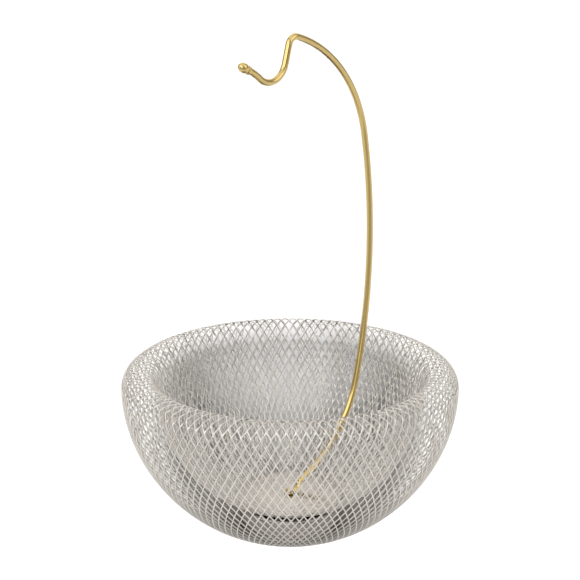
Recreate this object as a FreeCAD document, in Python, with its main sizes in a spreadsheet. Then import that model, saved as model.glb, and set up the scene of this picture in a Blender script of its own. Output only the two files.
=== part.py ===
import FreeCAD, Part
import math
import os

# Double-walled metal fruit bowl with a banana hook. Millimetres, +Z up.
# The origin is the middle of the base, on the surface that the bowl stands on.
# The hook lies in the XZ plane: its arm bows out to +X and its tip points to -X.

doc = FreeCAD.newDocument("fruit_bowl")
sheet = doc.addObject("Spreadsheet::Sheet", "sizes")

SIZES = [
    # base plate, the lowest piece
    ("base_radius", 46.3),
    ("base_thickness", 1.0),
    # raised cup that stands on the base plate, inside the outer mesh
    ("cup_clearance", 0.5),
    ("cup_top_height", 24.0),
    ("cup_sheet", 0.8),
    ("cup_flange_width", 9.0),
    # mesh sleeve: outer wall, rolled rim and inner wall in one sheet
    ("mesh_thickness", 1.6),
    ("mesh_ridge_depth", 0.8),
    ("clamp_width", 7.0),
    ("wall_foot_pull_out", 45.0),
    ("wall_foot_pull_up", 13.0),
    ("wall_top_pull", 70.0),
    ("bowl_radius", 150.0),
    ("roll_radius", 16.0),
    ("roll_centre_height", 138.0),
    ("inner_top_pull", 50.0),
    ("inner_foot_pull_out", 43.0),
    ("inner_foot_pull_up", 20.5),
    ("cells_round", 34),
    ("outer_rows", 12),
    ("roll_rows", 6),
    ("inner_rows", 7),
    ("first_gap_row", 3),
    ("gap_rows", 6),
    # floor disc that closes the inner wall
    ("floor_radius", 48.0),
    ("floor_thickness", 1.0),
    ("floor_top_height", 30.5),
    ("floor_edge_clearance", 1.0),
    # fixing of the hook: screw, spacer and nut on the bowl's axis
    ("screw_diameter", 4.0),
    ("screw_hole_clearance", 0.5),
    ("screw_head_diameter", 7.6),
    ("screw_head_height", 2.2),
    ("screw_head_bevel", 1.0),
    ("screw_past_nut", 2.0),
    ("spacer_diameter", 10.0),
    ("nut_across_flats", 7.0),
    ("nut_height", 3.2),
    ("nut_thread_clearance", 0.1),
    # hook wire, as tangent arcs and straight runs; its angles turn up from +X
    ("wire_diameter", 6.0),
    ("wire_sides", 12),
    ("wire_chord_error", 0.25),
    ("wire_step_angle", 18.0),
    ("pad_diameter", 13.0),
    ("pad_thickness", 2.5),
    ("wire_start_out", 5.0),
    ("wire_start_rise", 4.45),
    ("wire_start_angle", 18.6),
    ("foot_bend_radius", 134.7),
    ("foot_end_angle", 52.9),
    ("side_bend_radius", 98.0),
    ("side_end_angle", 75.3),
    ("arm_bend_radius", 531.5),
    ("arm_end_angle", 100.8),
    ("shoulder_bend_radius", 122.0),
    ("shoulder_end_angle", 163.6),
    ("crown_bend_radius", 8.0),
    ("crown_end_angle", 254.6),
    ("leg_run", 16.4),
    ("saddle_bend_radius", 18.4),
    ("saddle_end_angle", 138.5),
    ("tip_bend_radius", 47.2),
    ("tip_end_angle", 154.5),
    ("tip_run", 9.0),
    # ball on the end of the hook, with its collar
    ("ball_diameter", 8.8),
    ("ball_length", 12.0),
    ("ball_bands", 6),
    ("ball_flat_diameter", 1.0),
    ("collar_diameter", 7.6),
    ("collar_length", 2.6),
    ("collar_bevel", 0.6),
    ("neck_diameter", 6.8),
    ("ball_socket_depth", 8.5),
]
for row, (alias, value) in enumerate(SIZES, start=1):
    sheet.set("A%d" % row, alias)
    sheet.set("B%d" % row, str(value))
    sheet.setAlias("B%d" % row, alias)
doc.recompute()


def size(alias):
    return float(sheet.get(alias))


def solid(kind, name, **bound):
    """A primitive whose properties are bound to expressions over the sheet."""
    item = doc.addObject(kind, name)
    for prop, expression in bound.items():
        path = ".Placement.Base.z" if prop == "lift" else prop
        item.setExpression(path, expression)
    return item


def cylinder(name, radius, height, lift):
    return solid("Part::Cylinder", name, Radius=radius, Height=height, lift=lift)


def cut(name, base, tool):
    item = doc.addObject("Part::Cut", name)
    item.Base = base
    item.Tool = tool
    return item


def fuse(name, *items):
    item = doc.addObject("Part::MultiFuse", name)
    item.Shapes = list(items)
    return item


def facet(*corners):
    """A flat face between its corners."""
    return Part.Face(Part.makePolygon(list(corners) + [corners[0]]))


def faceted_solid(name, faces):
    """One solid closed by flat faces that share their edges."""
    shell = Part.makeShell(faces)
    shell.sewShape()
    body = Part.makeSolid(shell)
    if body.Volume < 0:
        body.reverse()
    item = doc.addObject("Part::Feature", name)
    item.Shape = body
    return item


HOLE = "(sizes.screw_diameter + sizes.screw_hole_clearance) / 2"
CUP_FOOT = "sizes.base_thickness + sizes.mesh_thickness"
CUP_RADIUS = "sizes.base_radius - sizes.cup_clearance"
FLOOR_UNDER = "sizes.floor_top_height - sizes.floor_thickness"


# Base plate: the flat disc that the bowl stands on.
def base_plate():
    return cylinder("base_plate", "sizes.base_radius", "sizes.base_thickness", "0 mm")


# Base cup: an upturned pressed cup. Its turned-in flange lies on the end of the mesh.
def base_cup():
    outside = cylinder("cup_outside", CUP_RADIUS,
                       "sizes.cup_top_height - (%s)" % CUP_FOOT, CUP_FOOT)
    inside = cylinder("cup_inside", CUP_RADIUS + " - sizes.cup_sheet",
                      "sizes.cup_top_height - (%s) - 2 * sizes.cup_sheet" % CUP_FOOT,
                      CUP_FOOT + " + sizes.cup_sheet")
    mouth = cylinder("cup_mouth", CUP_RADIUS + " - sizes.cup_flange_width",
                     "2 * sizes.cup_sheet", CUP_FOOT + " - sizes.cup_sheet / 2")
    hole = cylinder("cup_hole", HOLE, "3 * sizes.cup_sheet",
                    "sizes.cup_top_height - 2 * sizes.cup_sheet")
    return cut("base_cup", outside, fuse("cup_voids", inside, mouth, hole))


# Floor disc: the plate at the bottom of the bowl's inside.
def floor_disc():
    blank = cylinder("floor_blank", "sizes.floor_radius", "sizes.floor_thickness", FLOOR_UNDER)
    hole = cylinder("floor_hole", HOLE, "3 * sizes.floor_thickness",
                    FLOOR_UNDER + " - sizes.floor_thickness")
    return cut("floor_disc", blank, hole)


# Spacer: the short tube that carries the floor disc on top of the base cup.
def floor_spacer():
    height = "%s - sizes.cup_top_height" % FLOOR_UNDER
    tube = cylinder("spacer_blank", "sizes.spacer_diameter / 2", height, "sizes.cup_top_height")
    bore = cylinder("spacer_bore", HOLE, height, "sizes.cup_top_height")
    return cut("floor_spacer", tube, bore)


# Screw: a bevelled head on the hook's pad and a shank down to the nut under the cup.
def hook_screw():
    seat = "sizes.floor_top_height + sizes.pad_thickness"
    end = "sizes.cup_top_height - sizes.cup_sheet - sizes.nut_height - sizes.screw_past_nut"
    head_edge = "sizes.screw_head_height - sizes.screw_head_bevel"
    rim = cylinder("screw_rim", "sizes.screw_head_diameter / 2", head_edge, seat)
    crown = solid("Part::Cone", "screw_crown",
                  Radius1="sizes.screw_head_diameter / 2",
                  Radius2="sizes.screw_head_diameter / 2 - sizes.screw_head_bevel",
                  Height="sizes.screw_head_bevel", lift="%s + %s" % (seat, head_edge))
    shank = cylinder("screw_shank", "sizes.screw_diameter / 2", "%s - (%s)" % (seat, end), end)
    return fuse("hook_screw", rim, crown, shank)


# Nut: a hexagon under the cup, on the end of the screw.
def hook_nut():
    blank = solid("Part::Prism", "nut_blank",
                  Circumradius="sizes.nut_across_flats / sqrt(3)",
                  Height="sizes.nut_height",
                  lift="sizes.cup_top_height - sizes.cup_sheet - sizes.nut_height")
    blank.Polygon = 6
    bore = cylinder("nut_bore", "sizes.screw_diameter / 2 + sizes.nut_thread_clearance",
                    "sizes.nut_height",
                    "sizes.cup_top_height - sizes.cup_sheet - sizes.nut_height")
    return cut("hook_nut", blank, bore)


# The hook's centre line is a chain of tangent arcs and straight runs in the XZ plane. It is
# held as sections: the points where the wire's cross section is set, with its heading there.
def direction(heading):
    return FreeCAD.Vector(math.cos(heading), 0, math.sin(heading))


def hook_sections():
    point = FreeCAD.Vector(size("wire_start_out"), 0,
                           size("floor_top_height") + size("wire_start_rise"))
    heading = math.radians(size("wire_start_angle"))
    steps = [("foot_bend_radius", "foot_end_angle"),
             ("side_bend_radius", "side_end_angle"),
             ("arm_bend_radius", "arm_end_angle"),
             ("shoulder_bend_radius", "shoulder_end_angle"),
             ("crown_bend_radius", "crown_end_angle"),
             ("leg_run", None),
             ("saddle_bend_radius", "saddle_end_angle"),
             ("tip_bend_radius", "tip_end_angle"),
             ("tip_run", None)]
    sections = [(point, heading)]
    for length, turn_to in steps:
        if turn_to is None:
            point = point + direction(heading) * size(length)
            sections.append((point, heading))
            continue
        turn = math.radians(size(turn_to)) - heading
        smooth_step = 2 * math.acos(1 - size("wire_chord_error") / size(length))
        step_angle = min(smooth_step, math.radians(size("wire_step_angle")))
        count = math.ceil(abs(turn) / step_angle)
        radius = math.copysign(size(length), turn)
        centre = point + direction(heading + math.pi / 2) * radius
        for step in range(1, count + 1):
            aim = heading + turn * step / count
            sections.append((centre - direction(aim + math.pi / 2) * radius, aim))
        point, heading = sections[-1]
    return sections


def ring(point, heading, radius):
    """The corners of a many-sided outline across the wire at one section."""
    side = FreeCAD.Vector(0, 1, 0)
    up = direction(heading + math.pi / 2)
    count = int(size("wire_sides"))
    turns = [2 * math.pi * k / count for k in range(count)]
    return [point + (side * math.cos(turn) + up * math.sin(turn)) * radius for turn in turns]


def rod(name, rings):
    """A solid through a row of rings, with a flat face across each end."""
    faces = [facet(*rings[0]), facet(*rings[-1])]
    for near, far in zip(rings, rings[1:]):
        for k in range(len(near)):
            faces.append(facet(near[k - 1], near[k], far[k]))
            faces.append(facet(near[k - 1], far[k], far[k - 1]))
    return faceted_solid(name, faces)


# Hook wire: round wire bent along the centre line, its foot forged to a flat drilled pad.
def hook_wire():
    radius = size("wire_diameter") / 2
    bent = rod("wire_bent", [ring(point, heading, radius) for point, heading in hook_sections()])
    pad = cylinder("pad_blank", "sizes.pad_diameter / 2", "sizes.pad_thickness",
                   "sizes.floor_top_height")
    hole = cylinder("pad_hole", HOLE, "sizes.pad_thickness", "sizes.floor_top_height")
    return cut("hook_wire", fuse("wire_and_pad", bent, pad), hole)


# Ball tip: an egg-shaped ball and its collar, turned in one, with a socket for the wire's end.
def hook_tip():
    end, heading = hook_sections()[-1]
    start = end - direction(heading) * size("ball_socket_depth")

    def across(outline):
        return [ring(start + direction(heading) * far, heading, radius) for far, radius in outline]

    collar = size("collar_length")
    collar_radius = size("collar_diameter") / 2
    neck = size("neck_diameter") / 2
    ball_radius = size("ball_diameter") / 2
    outline = [(0.0, collar_radius), (collar - size("collar_bevel"), collar_radius)]
    opening = -math.acos(neck / ball_radius)
    closing = math.acos(size("ball_flat_diameter") / 2 / ball_radius)
    bands = int(size("ball_bands"))
    for k in range(bands + 1):
        angle = opening + (closing - opening) * k / bands
        share = (math.sin(angle) - math.sin(opening)) / (math.sin(closing) - math.sin(opening))
        outline.append((collar + size("ball_length") * share, ball_radius * math.cos(angle)))
    wire_radius = size("wire_diameter") / 2
    socket = [(0.0, wire_radius), (size("ball_socket_depth"), wire_radius)]
    return cut("hook_tip", rod("tip_ball", across(outline)), rod("tip_socket", across(socket)))


# The mesh sleeve's side line, from the clamped outer end, up the outer wall, over the rolled
# rim and down the inner wall to the clamped inner end. Each station is a point in the RZ
# plane with the direction that faces the hand there.
def sleeve_stations():
    centre_radius = size("bowl_radius") - size("roll_radius")
    roll_height = size("roll_centre_height")
    foot = FreeCAD.Vector(size("base_radius"), size("base_thickness"), 0)
    top = FreeCAD.Vector(size("bowl_radius"), roll_height, 0)
    inner_top = FreeCAD.Vector(centre_radius - size("roll_radius"), roll_height, 0)
    inner_foot = FreeCAD.Vector(size("floor_radius") + size("floor_edge_clearance"),
                                size("floor_top_height") - size("floor_thickness"), 0)
    clamp = FreeCAD.Vector(size("clamp_width"), 0, 0)
    up = FreeCAD.Vector(0, 1, 0)
    outer = Part.BezierCurve()
    outer.setPoles([foot,
                    foot + FreeCAD.Vector(size("wall_foot_pull_out"), size("wall_foot_pull_up"), 0),
                    top - up * size("wall_top_pull"), top])
    roll = Part.Arc(top, FreeCAD.Vector(centre_radius, roll_height + size("roll_radius"), 0),
                    inner_top)
    inner = Part.BezierCurve()
    inner.setPoles([inner_top, inner_top - up * size("inner_top_pull"),
                    inner_foot + FreeCAD.Vector(size("inner_foot_pull_out"),
                                                size("inner_foot_pull_up"), 0),
                    inner_foot])
    stations = [(foot - clamp, -up), (foot, -up)]
    for curve, rows in ((outer, "outer_rows"), (roll, "roll_rows"), (inner, "inner_rows")):
        edge = curve.toShape()
        count = int(size(rows))
        for step in range(1, count + 1):
            place = edge.LastParameter
            if step < count:
                place = edge.getParameterByLength(edge.Length * step / count)
            along = edge.tangentAt(place)
            stations.append((edge.valueAt(place), FreeCAD.Vector(along.y, -along.x, 0)))
    stations[-1] = (inner_foot, up)
    stations.append((inner_foot - clamp, up))
    return stations


# Mesh sleeve: staggered diamonds whose sides stand up as ridges, like the crossing strands of
# the real mesh. The middle of each diamond is sunk, and in the outer wall every other diamond
# of every other row is an open gap.
def mesh_wall():
    stations = sleeve_stations()
    round_count = int(size("cells_round"))
    thickness = size("mesh_thickness")
    ridge = size("mesh_ridge_depth")
    pitch = 2 * math.pi / round_count
    last = len(stations) - 1

    def place(row, turn, depth, chord=1.0):
        point, facing = stations[row]
        radius = (point.x - facing.x * depth) * chord
        height = point.y - facing.y * depth
        return FreeCAD.Vector(radius * math.cos(turn * pitch), radius * math.sin(turn * pitch),
                              height)

    first_gap_row = int(size("first_gap_row"))
    gap_rows = range(first_gap_row, first_gap_row + 2 * int(size("gap_rows")), 2)

    def is_gap(row, cell):
        return row in gap_rows and (cell + row // 2) % 2 == 0

    faces = []
    for row in range(last + 1):
        shift = 0.5 * (row % 2)
        for cell in range(round_count):
            left = cell + shift
            right = left + 1
            middle = left + 0.5
            front = [place(row, left, 0), None, place(row, right, 0), None]
            back = [place(row, left, thickness), None, place(row, right, thickness), None]
            for slot, beside in ((1, row - 1), (3, row + 1)):
                if 0 <= beside <= last:
                    front[slot] = place(beside, middle, 0)
                    back[slot] = place(beside, middle, thickness)
            if row in (0, last):
                # half diamonds at the clamped ends, and the edge of the sheet
                tip = 3 if row == 0 else 1
                faces.append(facet(front[0], front[2], front[tip]))
                faces.append(facet(back[0], back[2], back[tip]))
                faces.append(facet(front[0], front[2], back[2], back[0]))
            elif is_gap(row, cell):
                for a, b in ((0, 1), (1, 2), (2, 3), (3, 0)):
                    faces.append(facet(front[a], front[b], back[a]))
                    faces.append(facet(front[b], back[b], back[a]))
            else:
                if row in (1, last - 1):
                    faces.append(facet(front[0], front[2], front[1]))
                    faces.append(facet(front[0], front[2], front[3]))
                else:
                    sunk = place(row, middle, ridge, math.cos(pitch / 2))
                    for a, b in ((0, 1), (1, 2), (2, 3), (3, 0)):
                        faces.append(facet(front[a], front[b], sunk))
                faces.append(facet(back[0], back[2], back[1]))
                faces.append(facet(back[0], back[2], back[3]))
    return faceted_solid("mesh_wall", faces)


nodes = [base_plate(), base_cup(), floor_disc(), floor_spacer(), mesh_wall(),
         hook_wire(), hook_tip(), hook_screw(), hook_nut()]
doc.recompute()

for item in doc.Objects:
    if "Invalid" in item.State or "Error" in item.State:
        raise RuntimeError("%s did not build: %s" % (item.Name, item.State))

os.makedirs("parts", exist_ok=True)
for node in nodes:
    node.Label = node.Name
    shape = node.Shape
    if shape.isNull() or not shape.isValid():
        raise RuntimeError("%s has no valid shape" % node.Label)
    print(node.Label, "solids", len(shape.Solids), "volume %.0f" % shape.Volume,
          "faces", len(shape.Faces))
    shape.exportStep("parts/%s.step" % node.Label)
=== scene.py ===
# %% [markdown]
# # A double-walled mesh fruit bowl with a banana hook
# The bowl is one sleeve of expanded metal mesh. It rises as the outer wall, rolls over at the
# rim and goes down again as the inner wall. A flat disc closes it inside, a polished cup and a
# plate close it below, and a gold wire hook stands on the disc. The solid pieces come from the
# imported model, at their real size. This lesson adds the mesh itself, the rounded edges and the
# finish of the metal.

# %% Load the frame
import math

import bmesh
import bpy
import numpy as np
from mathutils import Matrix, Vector


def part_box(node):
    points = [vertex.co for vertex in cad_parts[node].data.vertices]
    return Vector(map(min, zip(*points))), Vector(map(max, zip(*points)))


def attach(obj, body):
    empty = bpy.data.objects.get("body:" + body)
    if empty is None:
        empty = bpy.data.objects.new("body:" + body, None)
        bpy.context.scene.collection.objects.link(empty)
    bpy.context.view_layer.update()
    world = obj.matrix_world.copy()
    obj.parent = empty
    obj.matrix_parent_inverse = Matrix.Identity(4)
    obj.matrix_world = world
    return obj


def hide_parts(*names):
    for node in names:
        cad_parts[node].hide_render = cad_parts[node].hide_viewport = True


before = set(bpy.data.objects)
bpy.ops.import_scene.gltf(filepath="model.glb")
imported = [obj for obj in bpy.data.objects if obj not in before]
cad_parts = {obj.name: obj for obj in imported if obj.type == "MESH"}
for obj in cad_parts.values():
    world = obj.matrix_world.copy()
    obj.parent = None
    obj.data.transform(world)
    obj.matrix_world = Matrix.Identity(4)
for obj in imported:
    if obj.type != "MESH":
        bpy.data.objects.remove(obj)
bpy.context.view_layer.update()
mesh_low, mesh_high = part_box("mesh_wall")
print("the bowl is", round(mesh_high[0] - mesh_low[0], 3), "m across")

# %% [markdown]
# ## What the sleeve is clamped to
# The sleeve's outer end lies on the edge of the base plate, and its inner end under the edge of
# the floor disc. Their places could be typed in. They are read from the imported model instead, so
# that the net meets them.

# %% Measure the plates, in metres
FLOOR_EDGE_GAP = 0.001
floor_low, floor_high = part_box("floor_disc")
plate_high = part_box("base_plate")[1]
FOOT_RADIUS = plate_high[0]
FOOT_HEIGHT = plate_high[2]
FLOOR_RADIUS = floor_high[0] + FLOOR_EDGE_GAP
FLOOR_HEIGHT = floor_low[2]
print("the sleeve runs from radius", round(FOOT_RADIUS, 4), "to radius", round(FLOOR_RADIUS, 4))

# %% [markdown]
# ## The sleeve's side line
# Every ring of the sleeve is a circle, so its form is one line, seen from the side: distance
# from the axis against height. The line could be traced point by point, but four simple curves
# say it better: a Bezier curve for each wall, half a circle for the rolled rim, and a short flat
# stretch at each end, where the sheet is clamped. A pull says how far a curve keeps the
# direction in which it leaves its end.

# %% Draw the side line
BOWL_RADIUS = 0.150
ROLL_RADIUS = 0.016
ROLL_HEIGHT = 0.138
CLAMP_WIDTH = 0.006
SHEET = 0.0009
OUTER_FOOT_PULL = (0.0604, 0.0193)
OUTER_TOP_PULL = 0.0597
INNER_TOP_PULL = 0.050
INNER_FOOT_PULL = (0.043, 0.0205)
WALL_POINTS = 400
ROLL_POINTS = 200


def bezier(poles):
    """Points along a Bezier curve with four poles."""
    t = np.linspace(0, 1, WALL_POINTS)[:, None]
    a, b, c, d = [np.array(pole, float) for pole in poles]
    return (1 - t) ** 3 * a + 3 * (1 - t) ** 2 * t * b + 3 * (1 - t) * t ** 2 * c + t ** 3 * d


def side_line():
    """The sleeve's middle line as (radius, height), from the base over the rim to the floor."""
    half = SHEET / 2
    foot = (FOOT_RADIUS, FOOT_HEIGHT + half)
    top = (BOWL_RADIUS - half, ROLL_HEIGHT)
    inner_top = (BOWL_RADIUS - 2 * ROLL_RADIUS + half, ROLL_HEIGHT)
    inner_foot = (FLOOR_RADIUS, FLOOR_HEIGHT - half)
    outer = bezier([foot, (foot[0] + OUTER_FOOT_PULL[0], foot[1] + OUTER_FOOT_PULL[1]),
                    (top[0], top[1] - OUTER_TOP_PULL), top])
    turn = np.linspace(0, math.pi, ROLL_POINTS)[:, None]
    roll = np.hstack([BOWL_RADIUS - ROLL_RADIUS + (ROLL_RADIUS - half) * np.cos(turn),
                      ROLL_HEIGHT + (ROLL_RADIUS - half) * np.sin(turn)])
    inner = bezier([inner_top, (inner_top[0], inner_top[1] - INNER_TOP_PULL),
                    (inner_foot[0] + INNER_FOOT_PULL[0], inner_foot[1] + INNER_FOOT_PULL[1]),
                    inner_foot])
    start = [(foot[0] - CLAMP_WIDTH, foot[1])]
    end = [(inner_foot[0] - CLAMP_WIDTH, inner_foot[1])]
    return np.vstack([start, outer, roll[1:], inner[1:], end])


LINE = side_line()
LINE_STEPS = np.hypot(*np.diff(LINE, axis=0).T)
LINE_LENGTH = np.concatenate([[0], np.cumsum(LINE_STEPS)])
CREST = LINE_LENGTH[LINE[:, 1].argmax()]
print("the sheet runs", round(LINE_LENGTH[-1], 3), "m from clamp to clamp, over the rim at",
      round(CREST, 3), "m")

# %% [markdown]
# ## Walking on the line
# A strand has to know where it is, which way the sheet runs there and which side is out. All
# three come from the line itself: the point at a distance, and two more just before and after
# it.

# %% Read the line at a distance
LOOK_AHEAD = 0.0008


def on_line(distance):
    """Point on the side line, direction of the line and its outward normal."""
    behind, point, ahead = [np.array([np.interp(distance + step, LINE_LENGTH, LINE[:, axis])
                                      for axis in (0, 1)])
                            for step in (-LOOK_AHEAD, 0, LOOK_AHEAD)]
    along = (ahead - behind) / np.linalg.norm(ahead - behind)
    return point, along, np.array([along[1], -along[0]])


print("the rim's crest is at height", round(on_line(CREST)[0][1], 4))

# %% [markdown]
# ## Rows of the mesh
# Expanded metal is a sheet with rows of slits, pulled open. Measured on the bowl, its rows keep
# the same distance all the way down, while the diamonds get narrower towards the base. That is
# what happens when a tube of mesh is gathered: every strand keeps its length and only leans
# less. So the length of a strand is given here, and the lean follows from the radius.

# %% Find the rows
CELLS_ROUND = 115
STRAND_LENGTH = 0.0081


def strand_lean(radius):
    """How far a strand leans from the side line at a radius, in radians."""
    return math.asin(math.pi * radius / CELLS_ROUND / STRAND_LENGTH)


def row_distances():
    """Distances along the side line of the rows of crossings."""
    rows = [0.0]
    while True:
        step = STRAND_LENGTH * math.cos(strand_lean(on_line(rows[-1])[0][0]))
        if rows[-1] + step > LINE_LENGTH[-1]:
            return rows
        rows.append(rows[-1] + step)


ROWS = row_distances()
print(len(ROWS), "rows of crossings,", CELLS_ROUND, "round")

# %% [markdown]
# ## How wide a strand is
# The strands of the bowl are thinner near its base and on its inner wall. A single width would
# close the small diamonds at the base. So a strand has two widths, one for the axis and one for
# the rim, for each wall, and the values of the two walls melt into each other over the roll.

# %% Width of a strand
OUTER_WIDTHS = (0.00050, 0.00102)
INNER_WIDTHS = (0.00034, 0.00075)


def blend_inside(distance, outer, inner):
    """A value that changes over the rolled rim from the outer wall's to the inner wall's."""
    inside = np.interp(distance, (CREST - ROLL_RADIUS, CREST + ROLL_RADIUS), (0, 1))
    return outer + (inner - outer) * inside


def strand_width(distance):
    """Width of a strand: thinner where the sleeve narrows, and thinner on the inner wall."""
    radius = on_line(distance)[0][0]
    return blend_inside(distance, np.interp(radius, (0, BOWL_RADIUS), OUTER_WIDTHS),
                        np.interp(radius, (0, BOWL_RADIUS), INNER_WIDTHS))


print("a strand is", round(strand_width(CREST) * 1000, 2), "mm wide at the crest")

# %% [markdown]
# ## A crossing
# The sheet could be a smooth surface with a see-through pattern painted on it, but then it would
# have no thickness at the rim, where one looks along it. Here it is a real net. Where two
# strands meet, the sheet was never cut, so each crossing is a small four-cornered plate. Its
# four sides are as wide as the strands that leave it.

# %% Corners of a crossing
STRAND_DEPTH = 0.00075


def crossing_ring(distance):
    """Eight corners of a crossing at angle 0: right, top, left, bottom, in front and behind."""
    point, along, normal = on_line(distance)
    half_strand = strand_width(distance) / 2
    lean = strand_lean(point[0])
    reach_side = half_strand / math.cos(lean)
    reach_up = half_strand / math.sin(lean)
    corners = []
    for depth in (STRAND_DEPTH / 2, -STRAND_DEPTH / 2):
        middle = point + normal * depth
        for side, up in ((reach_side, 0), (0, reach_up), (-reach_side, 0), (0, -reach_up)):
            spot = middle + along * up
            corners.append((spot[0], side, spot[1]))
    return corners


print("a crossing has", len(crossing_ring(CREST)), "corners")

# %% [markdown]
# ## A strand
# A strand is a bar between two crossings. Pulling the slits open turns every strand on edge, so
# its middle is twisted against its ends. The inner wall, which was pushed down into the bowl,
# has more twist than the outer one.

# %% Corners of a strand's middle
OUTER_TWIST = math.radians(8)
INNER_TWIST = math.radians(30)


def strand_ring(distance, next_distance, hand):
    """Four corners of a strand's middle ring at angle 0. hand is +1 or -1, the way it leans."""
    halfway = (distance + next_distance) / 2
    point, along, normal = on_line(halfway)
    half_strand = strand_width(halfway) / 2
    lean = strand_lean(point[0])
    twist = blend_inside(halfway, OUTER_TWIST, INNER_TWIST)
    across = np.array([-along[0] * math.sin(lean) * hand, math.cos(lean),
                       -along[1] * math.sin(lean) * hand])
    facing = np.array([normal[0], 0, normal[1]])
    wide = across * math.cos(twist) + facing * math.sin(twist) * hand
    deep = facing * math.cos(twist) - across * math.sin(twist) * hand
    middle = np.array([point[0], 0, point[1]])
    return [tuple(middle + wide * a * half_strand + deep * b * STRAND_DEPTH / 2)
            for a, b in ((-1, 1), (1, 1), (1, -1), (-1, -1))]


print("a strand's middle has", len(strand_ring(ROWS[0], ROWS[1], 1)), "corners")

# %% [markdown]
# ## Once round the bowl
# All crossings of a row are alike, so one is worked out and the rest are turned copies. An array
# modifier could copy them, but the copies have to share corners with their strands. So the
# corners are turned here, all at once, as rows of numbers.

# %% Copy corners round the axis
PITCH = 2 * math.pi / CELLS_ROUND


def ring_of_points(corners, first_angle):
    """Copies a few points round the axis, one set to each crossing of a row."""
    angles = first_angle + PITCH * np.arange(CELLS_ROUND)
    radial, sideways, up = np.array(corners).T
    x = radial[None] * np.cos(angles)[:, None] - sideways[None] * np.sin(angles)[:, None]
    y = radial[None] * np.sin(angles)[:, None] + sideways[None] * np.cos(angles)[:, None]
    z = np.broadcast_to(up[None], x.shape)
    return np.stack([x, y, z], axis=-1).reshape(-1, 3)


print("a row has", len(ring_of_points(crossing_ring(CREST), 0)), "corners")

# %% [markdown]
# ## Faces of the net
# A crossing has a face in front and one behind. It has sides only at the end of a piece, because
# elsewhere its strands begin there. A strand has four sides from the lower crossing to its
# middle ring, and four more to the upper crossing. Every face uses corners that are there
# already, so the net is one closed skin.

# %% Faces of a crossing and of a strand
RIGHT, TOP, LEFT, BOTTOM = 0, 1, 2, 3
BEHIND = 4
CROSSING_CORNERS = 8
STRAND_CORNERS = 4


def crossing_faces(corner, is_first, is_last):
    """Front and back of a crossing, and its cut sides where the piece begins or ends."""
    front = [corner + k for k in (RIGHT, TOP, LEFT, BOTTOM)]
    back = [k + BEHIND for k in front]
    faces = [front, back[::-1]]
    if is_last:
        faces.append([front[TOP], front[RIGHT], back[RIGHT], back[TOP]])
        faces.append([front[LEFT], front[TOP], back[TOP], back[LEFT]])
    if is_first:
        faces.append([front[RIGHT], front[BOTTOM], back[BOTTOM], back[RIGHT]])
        faces.append([front[BOTTOM], front[LEFT], back[LEFT], back[BOTTOM]])
    return faces


def strand_faces(low, middle, high, hand, is_cut):
    """Sides of a strand between two crossings, and its lower end where it is cut off there."""
    if hand == 1:
        start, end = (low + TOP, low + RIGHT), (high + LEFT, high + BOTTOM)
    else:
        start, end = (low + LEFT, low + TOP), (high + BOTTOM, high + RIGHT)
    start_ring, end_ring = [[a, b, b + BEHIND, a + BEHIND] for a, b in (start, end)]
    middle_ring = [middle + k for k in range(STRAND_CORNERS)]
    faces = []
    for ring_a, ring_b in ((start_ring, middle_ring), (middle_ring, end_ring)):
        for k in range(STRAND_CORNERS):
            j = (k + 1) % STRAND_CORNERS
            faces.append([ring_a[k], ring_a[j], ring_b[j], ring_b[k]])
    if is_cut:
        faces.append(start_ring[::-1])
    return faces


print("a strand has", len(strand_faces(0, 0, 0, 1, False)), "faces")

# %% [markdown]
# ## From points and faces to a piece
# Each piece of this lesson is made from a list of points and a list of faces. Blender can turn
# all faces outwards by itself, which saves thinking about the order of their corners. Everything
# is shaded smooth: a strand then shows one bright line, as the tumbled, rounded strands of the
# bowl do. A pressed or turned piece also keeps its sharp edges.

# %% Helpers for all pieces


def new_piece(name, points, faces, sharp=None):
    """A smooth-shaded object with its faces outwards. Edges over sharp degrees stay sharp."""
    data = bpy.data.meshes.new(name)
    data.from_pydata(points, [], faces)
    shell = bmesh.new()
    shell.from_mesh(data)
    loose = [point for point in shell.verts if not point.link_faces]
    bmesh.ops.delete(shell, geom=loose, context="VERTS")
    bmesh.ops.recalc_face_normals(shell, faces=shell.faces)
    shell.to_mesh(data)
    shell.free()
    data.shade_smooth()
    if sharp is not None:
        data.set_sharp_from_angle(angle=math.radians(sharp))
    piece = bpy.data.objects.new(name, data)
    bpy.context.scene.collection.objects.link(piece)
    print(name, sum(len(face.vertices) - 2 for face in data.polygons), "triangles")
    return piece


def add_piece(piece, node):
    """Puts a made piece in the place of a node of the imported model."""
    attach(piece, "root")
    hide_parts(node)


# %% [markdown]
# ## The two walls
# The net is one sleeve on the bowl, but it is made as two pieces, so that the two walls can have
# finishes of their own: the inner one is the same nickel, painted lighter against the bowl's
# shade.
# They part a little inside the crest, where nobody sees the joint. The inner piece begins with
# strands that are cut off at the outer piece's last crossings.

# %% Build the net
ROWS_PAST_CREST = 2


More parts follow.
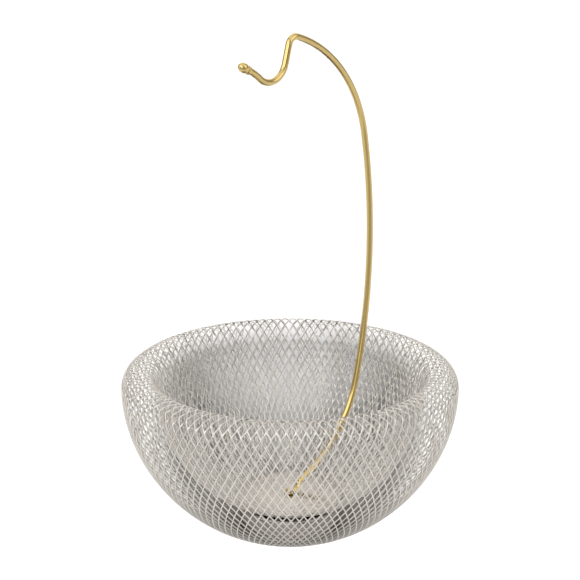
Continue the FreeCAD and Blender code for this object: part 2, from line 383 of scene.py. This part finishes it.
def net(name, first_row, last_row, strands_from):
    """One piece of the net: crossings first_row to last_row, and strands from a row on."""
    points, faces, first_point = [], [], {}
    count = 0
    for row in range(min(first_row, strands_from), last_row + 1):
        points.append(ring_of_points(crossing_ring(ROWS[row]), PITCH * 0.5 * (row % 2)))
        first_point[row] = count
        count += CROSSING_CORNERS * CELLS_ROUND
    for row in range(first_row, last_row + 1):
        for cell in range(CELLS_ROUND):
            faces += crossing_faces(first_point[row] + CROSSING_CORNERS * cell,
                                    row == strands_from, row == last_row)
    for row in range(strands_from, last_row):
        for hand in (1, -1):
            middles = strand_ring(ROWS[row], ROWS[row + 1], hand)
            points.append(ring_of_points(middles, PITCH * (0.5 * (row % 2) + 0.25 * hand)))
            step = row % 2 if hand == 1 else row % 2 - 1
            for cell in range(CELLS_ROUND):
                low = first_point[row] + CROSSING_CORNERS * cell
                high = first_point[row + 1] + CROSSING_CORNERS * ((cell + step) % CELLS_ROUND)
                faces += strand_faces(low, count + STRAND_CORNERS * cell, high, hand,
                                      row < first_row)
            count += STRAND_CORNERS * CELLS_ROUND
    return new_piece(name, np.vstack(points).tolist(), faces)


last_outer = min(range(len(ROWS)), key=lambda row: abs(ROWS[row] - CREST)) + ROWS_PAST_CREST
outer_net = net("mesh_outer_wall", 0, last_outer, 0)
inner_net = net("mesh_inner_wall", last_outer + 1, len(ROWS) - 1, last_outer)
add_piece(outer_net, "mesh_wall")
add_piece(inner_net, "mesh_wall")

# %% [markdown]
# ## The hook's bends
# The hook is one length of round wire, bent in a flat plane. A bender works in bends and straight
# runs, so the line is kept that way: for a bend its radius in metres and the direction in which
# it ends, in degrees up from the way out, and for a run its length and no direction.

# %% List the bends
WIRE_RISE = 0.00445
WIRE_START = (0.005, floor_high[2] + WIRE_RISE)
WIRE_START_ANGLE = 18.6
FOOT_BEND = (0.1347, 52.9)
SIDE_BEND = (0.0980, 75.3)
ARM_BEND = (0.5315, 100.8)
SHOULDER_BEND = (0.1220, 163.6)
CROWN_BEND = (0.0080, 254.6)
LEG_RUN = (0.0164, None)
SADDLE_BEND = (0.0184, 138.5)
TIP_BEND = (0.0472, 154.5)
TIP_RUN = (0.0090, None)
HOOK = [FOOT_BEND, SIDE_BEND, ARM_BEND, SHOULDER_BEND, CROWN_BEND, LEG_RUN, SADDLE_BEND,
        TIP_BEND, TIP_RUN]
print("the hook has", sum(end is not None for size, end in HOOK), "bends")

# %% [markdown]
# ## The hook's centre line
# Walking along that list in small steps gives the centre line. Each bend starts where the last
# one ended and in the same direction, so the wire has no kinks. In a tight bend the steps are
# set by the angle, because steps of one length would leave it cornered.

# %% Walk along the bends
WALK_STEP = 0.0012
TURN_STEP = math.radians(8)


def heading_vector(angle):
    """Unit vector (out, up) in the hook's plane."""
    return np.array([math.cos(angle), math.sin(angle)])


def hook_line():
    """Points (out, up) along the wire's middle and the angle of the wire at each."""
    point = np.array(WIRE_START)
    angle = math.radians(WIRE_START_ANGLE)
    walked = [(point, angle)]
    for size, end_angle in HOOK:
        if end_angle is None:
            steps = math.ceil(size / WALK_STEP)
            walked += [(point + heading_vector(angle) * size * k / steps, angle)
                       for k in range(1, steps + 1)]
        else:
            turn = math.radians(end_angle) - angle
            steps = max(math.ceil(abs(turn) * size / WALK_STEP), math.ceil(abs(turn) / TURN_STEP))
            radius = math.copysign(size, turn)
            centre = point + heading_vector(angle + math.pi / 2) * radius
            for k in range(1, steps + 1):
                aim = angle + turn * k / steps
                walked.append((centre - heading_vector(aim + math.pi / 2) * radius, aim))
        point, angle = walked[-1]
    return walked


HOOK_LINE = hook_line()
print("the wire's line has", len(HOOK_LINE), "points, its top at",
      round(max(point[1] for point, angle in HOOK_LINE), 4))

# %% [markdown]
# ## Rings across the wire
# A curve with a round bevel would make the wire in one step. Its foot isn't round, though: it is
# forged flat, to take the screw. So ovals are set across the line and skinned. Round ones make
# the wire and flat ones the foot.

# %% Rings and their skin
WIRE_SIDES = 24
SKIN_SHARP = 40


def wire_ring(out, up, angle, half_width, half_thick):
    """Corners of an oval across the wire, at (out, up) in the hook's plane."""
    across = heading_vector(angle + math.pi / 2)
    ring = []
    for k in range(WIRE_SIDES):
        turn = 2 * math.pi * k / WIRE_SIDES
        rise = math.sin(turn) * half_thick
        ring.append((out + across[0] * rise, math.cos(turn) * half_width, up + across[1] * rise))
    return ring


def skin_rings(name, rings):
    """A closed piece through a row of rings that have the same number of corners."""
    sides = len(rings[0])
    faces = [list(range(sides))[::-1], [(len(rings) - 1) * sides + k for k in range(sides)]]
    for row in range(len(rings) - 1):
        for k in range(sides):
            low, next_low = row * sides + k, row * sides + (k + 1) % sides
            faces.append([low, next_low, next_low + sides, low + sides])
    return new_piece(name, [tuple(corner) for ring in rings for corner in ring], faces,
                     SKIN_SHARP)


print("a ring of the wire has", len(wire_ring(0, 0, 0, 1, 1)), "corners")

# %% [markdown]
# ## The flat foot
# The foot is a tongue that lies on the floor disc. Its end is rounded by narrowing its last
# rings along a quarter of a circle. The first ring keeps a little width, because a ring that
# shrinks to one point makes faces without area.

# %% Rings of the foot
TONGUE_HALF_WIDTH = 0.0046
TONGUE_HALF_THICK = 0.00125
TONGUE_MIDDLE = floor_high[2] + TONGUE_HALF_THICK
TONGUE_END = -0.0055
TONGUE_ROUND = 0.0040
TONGUE_ROUND_RINGS = 9
TONGUE_FLAT_RINGS = 4
FIRST_RING = 0.12
FORGED_FROM = 0.0044


def tongue_rings():
    """Rings of the flat foot, from its round end to where the forged part begins."""
    rings = []
    for k in range(TONGUE_ROUND_RINGS):
        turn = math.pi / 2 * (FIRST_RING + (1 - FIRST_RING) * k / (TONGUE_ROUND_RINGS - 1))
        out = TONGUE_END + TONGUE_ROUND * (1 - math.cos(turn))
        rings.append(wire_ring(out, TONGUE_MIDDLE, 0, TONGUE_HALF_WIDTH * math.sin(turn),
                               TONGUE_HALF_THICK))
    round_end = TONGUE_END + TONGUE_ROUND
    for k in range(1, TONGUE_FLAT_RINGS + 1):
        out = round_end + (FORGED_FROM - round_end) * k / TONGUE_FLAT_RINGS
        rings.append(wire_ring(out, TONGUE_MIDDLE, 0, TONGUE_HALF_WIDTH, TONGUE_HALF_THICK))
    return rings


print("the foot has", len(tongue_rings()), "rings")

# %% [markdown]
# ## The wire
# Between the flat foot and the round wire lies the forged part, where each ring is a mix of the
# two. The mix follows an easy curve, because a straight one would show a crease at both ends.

# %% Skin the wire
WIRE_RADIUS = 0.003
FORGED_TO = 0.0150


def smooth(low, high, value):
    """0 below low, 1 above high, and an easy curve between."""
    share = min(max((value - low) / (high - low), 0.0), 1.0)
    return share * share * (3 - 2 * share)


def wire_rings():
    """Rings from the forged part to the tip: oval at first, then round."""
    rings = []
    for (out, up), angle in HOOK_LINE:
        is_low = up < FLOOR_HEIGHT * 2
        drawn = smooth(FORGED_FROM, FORGED_TO, out) if is_low else 1.0
        half_width = TONGUE_HALF_WIDTH + (WIRE_RADIUS - TONGUE_HALF_WIDTH) * drawn
        half_thick = TONGUE_HALF_THICK + (WIRE_RADIUS - TONGUE_HALF_THICK) * drawn
        rings.append(wire_ring(out, TONGUE_MIDDLE + (up - TONGUE_MIDDLE) * drawn, angle * drawn,
                               half_width, half_thick))
    return rings


wire = skin_rings("gold_wire", tongue_rings() + wire_rings())
add_piece(wire, "hook_wire")

# %% [markdown]
# ## The ball on the tip
# A turned ball stops the fruit's stalk from slipping off. It is a lathe part, so its outline is
# drawn once, as distance along its axis against radius, and spun. The collar's edges are rounded
# in the outline, because a sharp edge on polished metal shows no line of light.

# %% Outline of the ball
COLLAR_RADIUS = 0.0038
COLLAR_LENGTH = 0.0024
COLLAR_EDGE = 0.0007
NECK_RADIUS = 0.0027
BALL_RADIUS = 0.0044
BALL_LENGTH = 0.0102
BALL_STEPS = 22
TUCK = 0.0002


def corner_arc(middle, radius, first, last, steps=5):
    """Points on a quarter of a rounded edge; angles in degrees from the first axis."""
    turns = np.radians(np.linspace(first, last, steps))
    return [(middle[0] + radius * math.cos(t), middle[1] + radius * math.sin(t)) for t in turns]


def ball_outline():
    """(distance, radius) along the ball's axis, from the collar's wire side to the far end."""
    outline = [(0.0, WIRE_RADIUS - TUCK)]
    outline += corner_arc((COLLAR_EDGE, COLLAR_RADIUS - COLLAR_EDGE), COLLAR_EDGE, 180, 90)
    outline += corner_arc((COLLAR_LENGTH - COLLAR_EDGE, COLLAR_RADIUS - COLLAR_EDGE),
                          COLLAR_EDGE, 90, 20)
    opening = -math.acos(NECK_RADIUS / BALL_RADIUS)
    low = math.sin(opening)
    for k in range(BALL_STEPS):
        angle = opening + (math.pi / 2 - opening) * k / BALL_STEPS
        share = (math.sin(angle) - low) / (1 - low)
        outline.append((COLLAR_LENGTH + TUCK + (BALL_LENGTH - TUCK) * share,
                        BALL_RADIUS * math.cos(angle)))
    return outline


print("the ball's outline has", len(ball_outline()), "points")

# %% [markdown]
# ## Putting the ball on the wire
# The ball has a hole that the wire's end goes into. So its outline starts some way back from the
# end of the line, and its rings stand square to the wire there.

# %% Turn the ball
BALL_SOCKET = 0.0085
tip_end, tip_angle = HOOK_LINE[-1]
tip_start = tip_end - heading_vector(tip_angle) * BALL_SOCKET
ball_rings = []
for far, radius in ball_outline():
    out, up = tip_start + heading_vector(tip_angle) * far
    ball_rings.append(wire_ring(out, up, tip_angle, radius, radius))
ball = skin_rings("gold_ball", ball_rings)
add_piece(ball, "hook_tip")

# %% [markdown]
# ## Spinning an outline
# The plate, the cup and the floor disc are round, so each is a closed outline of radius against
# height, turned about the bowl's axis. A screw modifier could turn it. A short loop does the
# same and leaves nothing to apply.

# %% The lathe
SPIN_STEPS = 128
SPIN_SHARP = 30


def spin(name, outline):
    """Revolves a closed outline of (radius, height) round the bowl's axis."""
    count = len(outline)
    turns = 2 * math.pi * np.arange(SPIN_STEPS) / SPIN_STEPS
    points = [(radius * math.cos(t), radius * math.sin(t), height)
              for t in turns for radius, height in outline]
    faces = []
    for column in range(SPIN_STEPS):
        here, beside = column * count, (column + 1) % SPIN_STEPS * count
        for k in range(count):
            j = (k + 1) % count
            faces.append([here + k, beside + k, beside + j, here + j])
    return new_piece(name, points, faces, SPIN_SHARP)


# %% [markdown]
# ## The pressed discs
# The base plate and the floor disc are pressed from sheet, and pressing leaves every edge with a
# small radius. That radius catches the light in a product picture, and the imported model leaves
# it out. The floor disc has a hole for the screw. The plate has none: its outline begins at a
# pin's width from the axis, because faces that meet in one point can't be shaded well.

# %% Spin the discs
HOLE_RADIUS = 0.00225
PIN_RADIUS = 0.0004
PLATE_EDGE = 0.0004
FLOOR_EDGE = 0.00045


def disc_outline(hole, radius, low, high, edge):
    """The outline of a flat disc whose rim is rounded above and below."""
    outline = [(hole, low)]
    outline += corner_arc((radius - edge, low + edge), edge, -90, 0)
    outline += corner_arc((radius - edge, high - edge), edge, 0, 90)
    outline.append((hole, high))
    return outline


plate = spin("foot_plate", disc_outline(PIN_RADIUS, FOOT_RADIUS, 0.0, FOOT_HEIGHT, PLATE_EDGE))
add_piece(plate, "base_plate")
disc = spin("floor_plate", disc_outline(HOLE_RADIUS, floor_high[0], floor_low[2], floor_high[2],
                                        FLOOR_EDGE))
add_piece(disc, "floor_disc")

# %% [markdown]
# ## The pressed cup
# The cup is a shallow drum that carries the floor disc's screw. It is drawn as one sheet: a small
# flange, the side, a wide shoulder and the top with its hole. Pressed steel can't have a sharp
# shoulder, so a bend of 4.5 mm is drawn there.

# %% Spin the cup
CUP_SHEET = 0.0008
CUP_SHOULDER = 0.0045
SHOULDER_STEPS = 9
FLANGE_WIDTH = 0.0090
cup_low, cup_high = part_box("base_cup")


def cup_outline():
    """The cup's sheet: up the outside, over the shoulder, and back along the inside."""
    radius, low, high = cup_high[0], cup_low[2], cup_high[2]
    bend = (radius - CUP_SHOULDER, high - CUP_SHOULDER)
    outline = [(radius - FLANGE_WIDTH, low)]
    outline += corner_arc((radius - CUP_SHEET, low + CUP_SHEET), CUP_SHEET, -90, 0)
    outline += corner_arc(bend, CUP_SHOULDER, 0, 90, SHOULDER_STEPS)
    outline += [(HOLE_RADIUS, high), (HOLE_RADIUS, high - CUP_SHEET)]
    outline += corner_arc(bend, CUP_SHOULDER - CUP_SHEET, 90, 0, SHOULDER_STEPS)
    outline += [(radius - CUP_SHEET, low + CUP_SHEET), (radius - FLANGE_WIDTH, low + CUP_SHEET)]
    return outline


cup = spin("pressed_cup", cup_outline())
add_piece(cup, "base_cup")

# %% [markdown]
# ## Slow patches and fine grain
# Satin metal is a mirror with a fine haze. One colour and one roughness would look like plastic,
# so slow noise moves both a little. Brushed or tumbled steel also has a fine grain, which is
# drawn as a bump: it is far smaller than any face could be. All noise is laid out in the space
# of the object, so it stays on the metal when the camera moves.

# %% Nodes that the finishes share
PATCH_SCALE = 60.0
PATCHINESS = 0.05
HAZE = 0.2
GRAIN_SCALE = 800.0
GRAIN_HEIGHT = 0.0002


def new_finish(name):
    """An empty finish: the material, its nodes, its links, its shader and its place node."""
    made = bpy.data.materials.new(name)
    made.use_nodes = True
    nodes = made.node_tree.nodes
    return (made, nodes, made.node_tree.links, nodes["Principled BSDF"],
            nodes.new("ShaderNodeTexCoord"))


def noise(nodes, links, place, scale):
    """Noise laid out in the space of the object."""
    made = nodes.new("ShaderNodeTexNoise")
    made.inputs["Scale"].default_value = scale
    links.new(place.outputs["Object"], made.inputs["Vector"])
    return made.outputs["Fac"]


def mix_colours(nodes, links, share, colour_a, colour_b):
    """A colour between two, by a share."""
    mix = nodes.new("ShaderNodeMix")
    mix.data_type = "RGBA"
    mix.inputs["A"].default_value = (*colour_a, 1)
    mix.inputs["B"].default_value = (*colour_b, 1)
    links.new(share, mix.inputs["Factor"])
    return mix.outputs["Result"]


def add_grain(nodes, links, place, shader, strength):
    """A fine bump on the shader's surface."""
    bump = nodes.new("ShaderNodeBump")
    bump.inputs["Strength"].default_value = strength
    bump.inputs["Distance"].default_value = GRAIN_HEIGHT
    links.new(noise(nodes, links, place, GRAIN_SCALE), bump.inputs["Height"])
    links.new(bump.outputs["Normal"], shader.inputs["Normal"])


# %% [markdown]
# ## Painted shade towards the base
# The bowl's mesh gets darker towards its base, where the strands lie close together and shade
# each other over the shadowed floor under the bowl. That shade is painted: light that bounces
# between so many strands is slow to work out, so the colour itself is turned down with height,
# by an easy slope.

# %% Paint shade by height


def painted_shade_below(nodes, links, place, colour_out, low, high, share):
    """Painted shade: a colour times share under height low, fading to the full colour at high."""
    height = nodes.new("ShaderNodeSeparateXYZ")
    links.new(place.outputs["Object"], height.inputs["Vector"])
    fade = nodes.new("ShaderNodeMapRange")
    fade.interpolation_type = "SMOOTHSTEP"
    fade.inputs["From Min"].default_value = low
    fade.inputs["From Max"].default_value = high
    fade.inputs["To Min"].default_value = share
    links.new(height.outputs["Z"], fade.inputs["Value"])
    scaled = nodes.new("ShaderNodeVectorMath")
    scaled.operation = "SCALE"
    links.new(colour_out, scaled.inputs[0])
    links.new(fade.outputs["Result"], scaled.inputs["Scale"])
    return scaled.outputs["Vector"]


# %% [markdown]
# ## A satin metal
# One recipe serves every metal of the bowl, with its own colour, roughness and grain. Lacquer is
# a thin clear coat over the metal, as on the gold wire: it adds white glints on top of the
# yellow ones. What is the same all over is set on the shader's own sockets.

# %% The recipe
COAT_ROUGHNESS = 0.12


def metal(name, colour, roughness, grain=0.0, below=None, lacquer=0.0):
    """A satin metal with slow patches in its colour and roughness and a fine grain."""
    made, nodes, links, shader, place = new_finish(name)
    shader.inputs["Metallic"].default_value = 1.0
    shader.inputs["Roughness"].default_value = roughness
    patches = noise(nodes, links, place, PATCH_SCALE)
    colour_out = mix_colours(nodes, links, patches,
                             [channel * (1 - PATCHINESS) for channel in colour],
                             [channel * (1 + PATCHINESS) for channel in colour])
    # Painted shade: the colour is turned down towards the bottom, where the mesh lies in shade.
    if below:
        colour_out = painted_shade_below(nodes, links, place, colour_out, *below)
    links.new(colour_out, shader.inputs["Base Color"])
    haze = nodes.new("ShaderNodeMapRange")
    haze.inputs["To Min"].default_value = roughness * (1 - HAZE)
    haze.inputs["To Max"].default_value = roughness * (1 + HAZE)
    links.new(patches, haze.inputs["Value"])
    links.new(haze.outputs["Result"], shader.inputs["Roughness"])
    if grain:
        add_grain(nodes, links, place, shader, grain)
    if lacquer:
        shader.inputs["Coat Weight"].default_value = lacquer
        shader.inputs["Coat Roughness"].default_value = COAT_ROUGHNESS
    print(name, "has", len(nodes), "nodes")
    return made


# %% [markdown]
# ## The finishes
# The mesh is nickel plated, with a warm tint; its outer wall has painted shade towards the base.
# Its inner wall lies in the bowl's own shade, so its nickel is painted a little brighter, to make
# up for it. The discs and the cup are bright steel, the gold is lacquered, and the fixings that
# nobody sees are plain zinc.

# %% Mix the finishes
# Painted shade on the outer wall: darker towards the base, down to about half its colour.
MESH_PAINTED_SHADE = (0.006, 0.090, 0.52)
SATIN_NICKEL = metal("satin_nickel", (0.615, 0.58, 0.535), 0.39, below=MESH_PAINTED_SHADE)
# The inner wall's nickel is painted lighter than the outer wall's, to make up for the bowl's
# shade.
NICKEL_PAINTED_LIGHTER = metal("nickel_painted_lighter", (0.66, 0.63, 0.585), 0.36)
BRIGHT_STEEL = metal("bright_steel", (0.49, 0.45, 0.41), 0.20, grain=0.1)
COOL_STEEL = metal("cool_steel", (0.335, 0.318, 0.293), 0.24, grain=0.1)
DULL_STEEL = metal("dull_steel", (0.38, 0.35, 0.31), 0.28, grain=0.1)
SATIN_GOLD = metal("satin_gold", (0.505, 0.364, 0.118), 0.20, grain=0.03, lacquer=1.0)
ZINC = metal("zinc", (0.60, 0.60, 0.60), 0.4)

# %% [markdown]
# ## Dressing the pieces
# The pieces made above take their finish as they are. The screw, the spacer and the nut are
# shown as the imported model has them, so the finish takes the place of the plain one there.

# %% Give each piece its finish
for piece, finish in ((outer_net, SATIN_NICKEL), (inner_net, NICKEL_PAINTED_LIGHTER), (wire, SATIN_GOLD),
                      (ball, SATIN_GOLD), (plate, DULL_STEEL), (disc, BRIGHT_STEEL),
                      (cup, COOL_STEEL)):
    piece.data.materials.append(finish)
for node, finish in (("hook_screw", SATIN_GOLD), ("floor_spacer", ZINC), ("hook_nut", ZINC)):
    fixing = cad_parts[node].data.materials
    fixing.clear()
    fixing.append(finish)
    print(node, "is", finish.name)

# %% [markdown]
# ## The floor
# The bowl stands on white, and metal shows what stands around it. White paper lies under and
# behind the bowl. On the camera's side the floor turns grey, and that grey gives the low wall
# and the gold wire their darker lines.

# %% Lay the floor
FLOOR_SIZE = 30.0
CAMERA_TURN = math.radians(-45)
PAPER_WHITE = (0.9, 0.9, 0.9)
STUDIO_GREY = (0.40, 0.40, 0.40)
PAPER_ROUGHNESS = 0.9
PAPER_ENDS = -0.42
GREY_BEGINS = -0.70


def paper_floor():
    """White paper under and behind the bowl, and the grey studio floor on the camera's side."""
    made, nodes, links, shader, place = new_finish("paper_floor")
    shader.inputs["Roughness"].default_value = PAPER_ROUGHNESS
    depth = nodes.new("ShaderNodeVectorMath")
    depth.operation = "DOT_PRODUCT"
    depth.inputs[1].default_value = (-math.sin(CAMERA_TURN), math.cos(CAMERA_TURN), 0)
    links.new(place.outputs["Object"], depth.inputs[0])
    fade = nodes.new("ShaderNodeMapRange")
    fade.interpolation_type = "SMOOTHSTEP"
    fade.inputs["From Min"].default_value = GREY_BEGINS
    fade.inputs["From Max"].default_value = PAPER_ENDS
    links.new(depth.outputs["Value"], fade.inputs["Value"])
    colour = mix_colours(nodes, links, fade.outputs["Result"], STUDIO_GREY, PAPER_WHITE)
    links.new(colour, shader.inputs["Base Color"])
    return made


half = FLOOR_SIZE / 2
floor_mesh = bpy.data.meshes.new("floor")
floor_mesh.from_pydata([(-half, -half, 0), (half, -half, 0), (half, half, 0), (-half, half, 0)],
                       [], [(0, 1, 2, 3)])
floor = bpy.data.objects.new("floor", floor_mesh)
floor.data.materials.append(paper_floor())
bpy.context.scene.collection.objects.link(floor)
print("the floor is", FLOOR_SIZE, "m wide")

# %% [markdown]
# ## The camera
# A product picture is taken from some way off with a long lens, so that the bowl isn't
# stretched. Distance, height, tilt and lens were found by matching the rim's oval, the base and
# the top of the hook to the photograph.

# %% Set the camera
CAMERA_BACK = 1.2615
CAMERA_HEIGHT = 0.607
LOOK_DOWN = math.radians(16.88)
LENS = 93.4
SENSOR = 36.0

camera_data = bpy.data.cameras.new("camera")
camera_data.lens = LENS
camera_data.sensor_width = SENSOR
camera = bpy.data.objects.new("camera", camera_data)
camera.location = (CAMERA_BACK * math.sin(CAMERA_TURN), -CAMERA_BACK * math.cos(CAMERA_TURN),
                   CAMERA_HEIGHT)
camera.rotation_euler = (math.pi / 2 - LOOK_DOWN, 0, CAMERA_TURN)
bpy.context.scene.collection.objects.link(camera)
bpy.context.scene.camera = camera
print("the camera stands", round(math.hypot(CAMERA_BACK, CAMERA_HEIGHT), 3), "m away")

# %% [markdown]
# ## Panels for the metal
# Each square panel hangs where some part of the bowl mirrors it, and only the metal sees it.
# The low one in front gives the hook's leg its broad light and the front wall its bright strands.
# The one behind lights the crest and the floor disc, the others the two sides and the top.

# %% Hang the panels
LIGHT_AIM = Vector((0, 0, 0.15))


def hang(lamp, turn, lift, distance):
    """Places a lamp that looks at the bowl. turn is measured from the camera's side."""
    item = bpy.data.objects.new(lamp.name, lamp)
    side = CAMERA_TURN + math.radians(turn)
    rise = math.radians(lift)
    away = Vector((math.sin(side) * math.cos(rise), -math.cos(side) * math.cos(rise),
                   math.sin(rise)))
    item.location = LIGHT_AIM + away * distance
    item.rotation_euler = (-away).to_track_quat("-Z", "Y").to_euler()
    bpy.context.scene.collection.objects.link(item)
    return item


def panel(name, turn, lift, distance, width, power):
    """A square soft light that shows in the metal and leaves the floor alone."""
    lamp = bpy.data.lights.new(name, "AREA")
    lamp.energy = power
    lamp.size = width
    hang(lamp, turn, lift, distance).visible_diffuse = False
    print(name, "gives", power, "W")


panel("key", turn=-60, lift=34, distance=2.0, width=1.4, power=14)
panel("fill", turn=65, lift=30, distance=2.2, width=1.6, power=13)
panel("front", turn=-12, lift=18, distance=2.4, width=1.7, power=22)
panel("over", turn=0, lift=72, distance=2.2, width=2.6, power=18)
panel("behind", turn=180, lift=33, distance=2.2, width=2.8, power=24)

# %% [markdown]
# ## A sun for the floor
# The floor has a lamp of its own, a sun that the metal doesn't see. It shines along the camera's
# line of sight, so the shadow falls where the bowl hides it. Through the mesh one sees that
# shadow, a light grey, although all the paper round the bowl is white.

# %% Wash the floor
WASH_STRENGTH = 12.0
WASH_ANGLE = 6
WASH_LIFT = 19.7
WASH_DISTANCE = 3.0

wash = bpy.data.lights.new("floor_wash", "SUN")
wash.energy = WASH_STRENGTH
wash.angle = math.radians(WASH_ANGLE)
hang(wash, 0, WASH_LIFT, WASH_DISTANCE).visible_glossy = False
print("the sun stands", WASH_LIFT, "degrees high")

# %% [markdown]
# ## The sky
# A room is brighter overhead than low in front. A slope in the sky's strength gives the rounded
# forms a soft change of tone. It is for the metal only, so the shadow stays under control.

# %% Paint the sky
SKY_TINT = (1.0, 0.99, 0.98, 1)
SKY_BACK = 0.6
SKY_UP = 0.8
SKY_FROM = -0.3
SKY_TO = 0.9
SKY_LOW = 0.27
SKY_HIGH = 0.68

world = bpy.data.worlds.new("studio")
world.use_nodes = True
sky_nodes = world.node_tree.nodes
sky_links = world.node_tree.links
background = sky_nodes["Background"]
background.inputs["Color"].default_value = SKY_TINT
direction_in = sky_nodes.new("ShaderNodeTexCoord")
towards_back = sky_nodes.new("ShaderNodeVectorMath")
towards_back.operation = "DOT_PRODUCT"
towards_back.inputs[1].default_value = (-SKY_BACK * math.sin(CAMERA_TURN),
                                        SKY_BACK * math.cos(CAMERA_TURN), SKY_UP)
sky_links.new(direction_in.outputs["Generated"], towards_back.inputs[0])
slope = sky_nodes.new("ShaderNodeMapRange")
slope.inputs["From Min"].default_value = SKY_FROM
slope.inputs["From Max"].default_value = SKY_TO
slope.inputs["To Min"].default_value = SKY_LOW
slope.inputs["To Max"].default_value = SKY_HIGH
sky_links.new(towards_back.outputs["Value"], slope.inputs["Value"])
sky_links.new(slope.outputs["Result"], background.inputs["Strength"])
bpy.context.scene.world = world
world.cycles_visibility.diffuse = False
bpy.context.scene.view_settings.view_transform = "Standard"
print("the sky goes from", SKY_LOW, "to", SKY_HIGH)
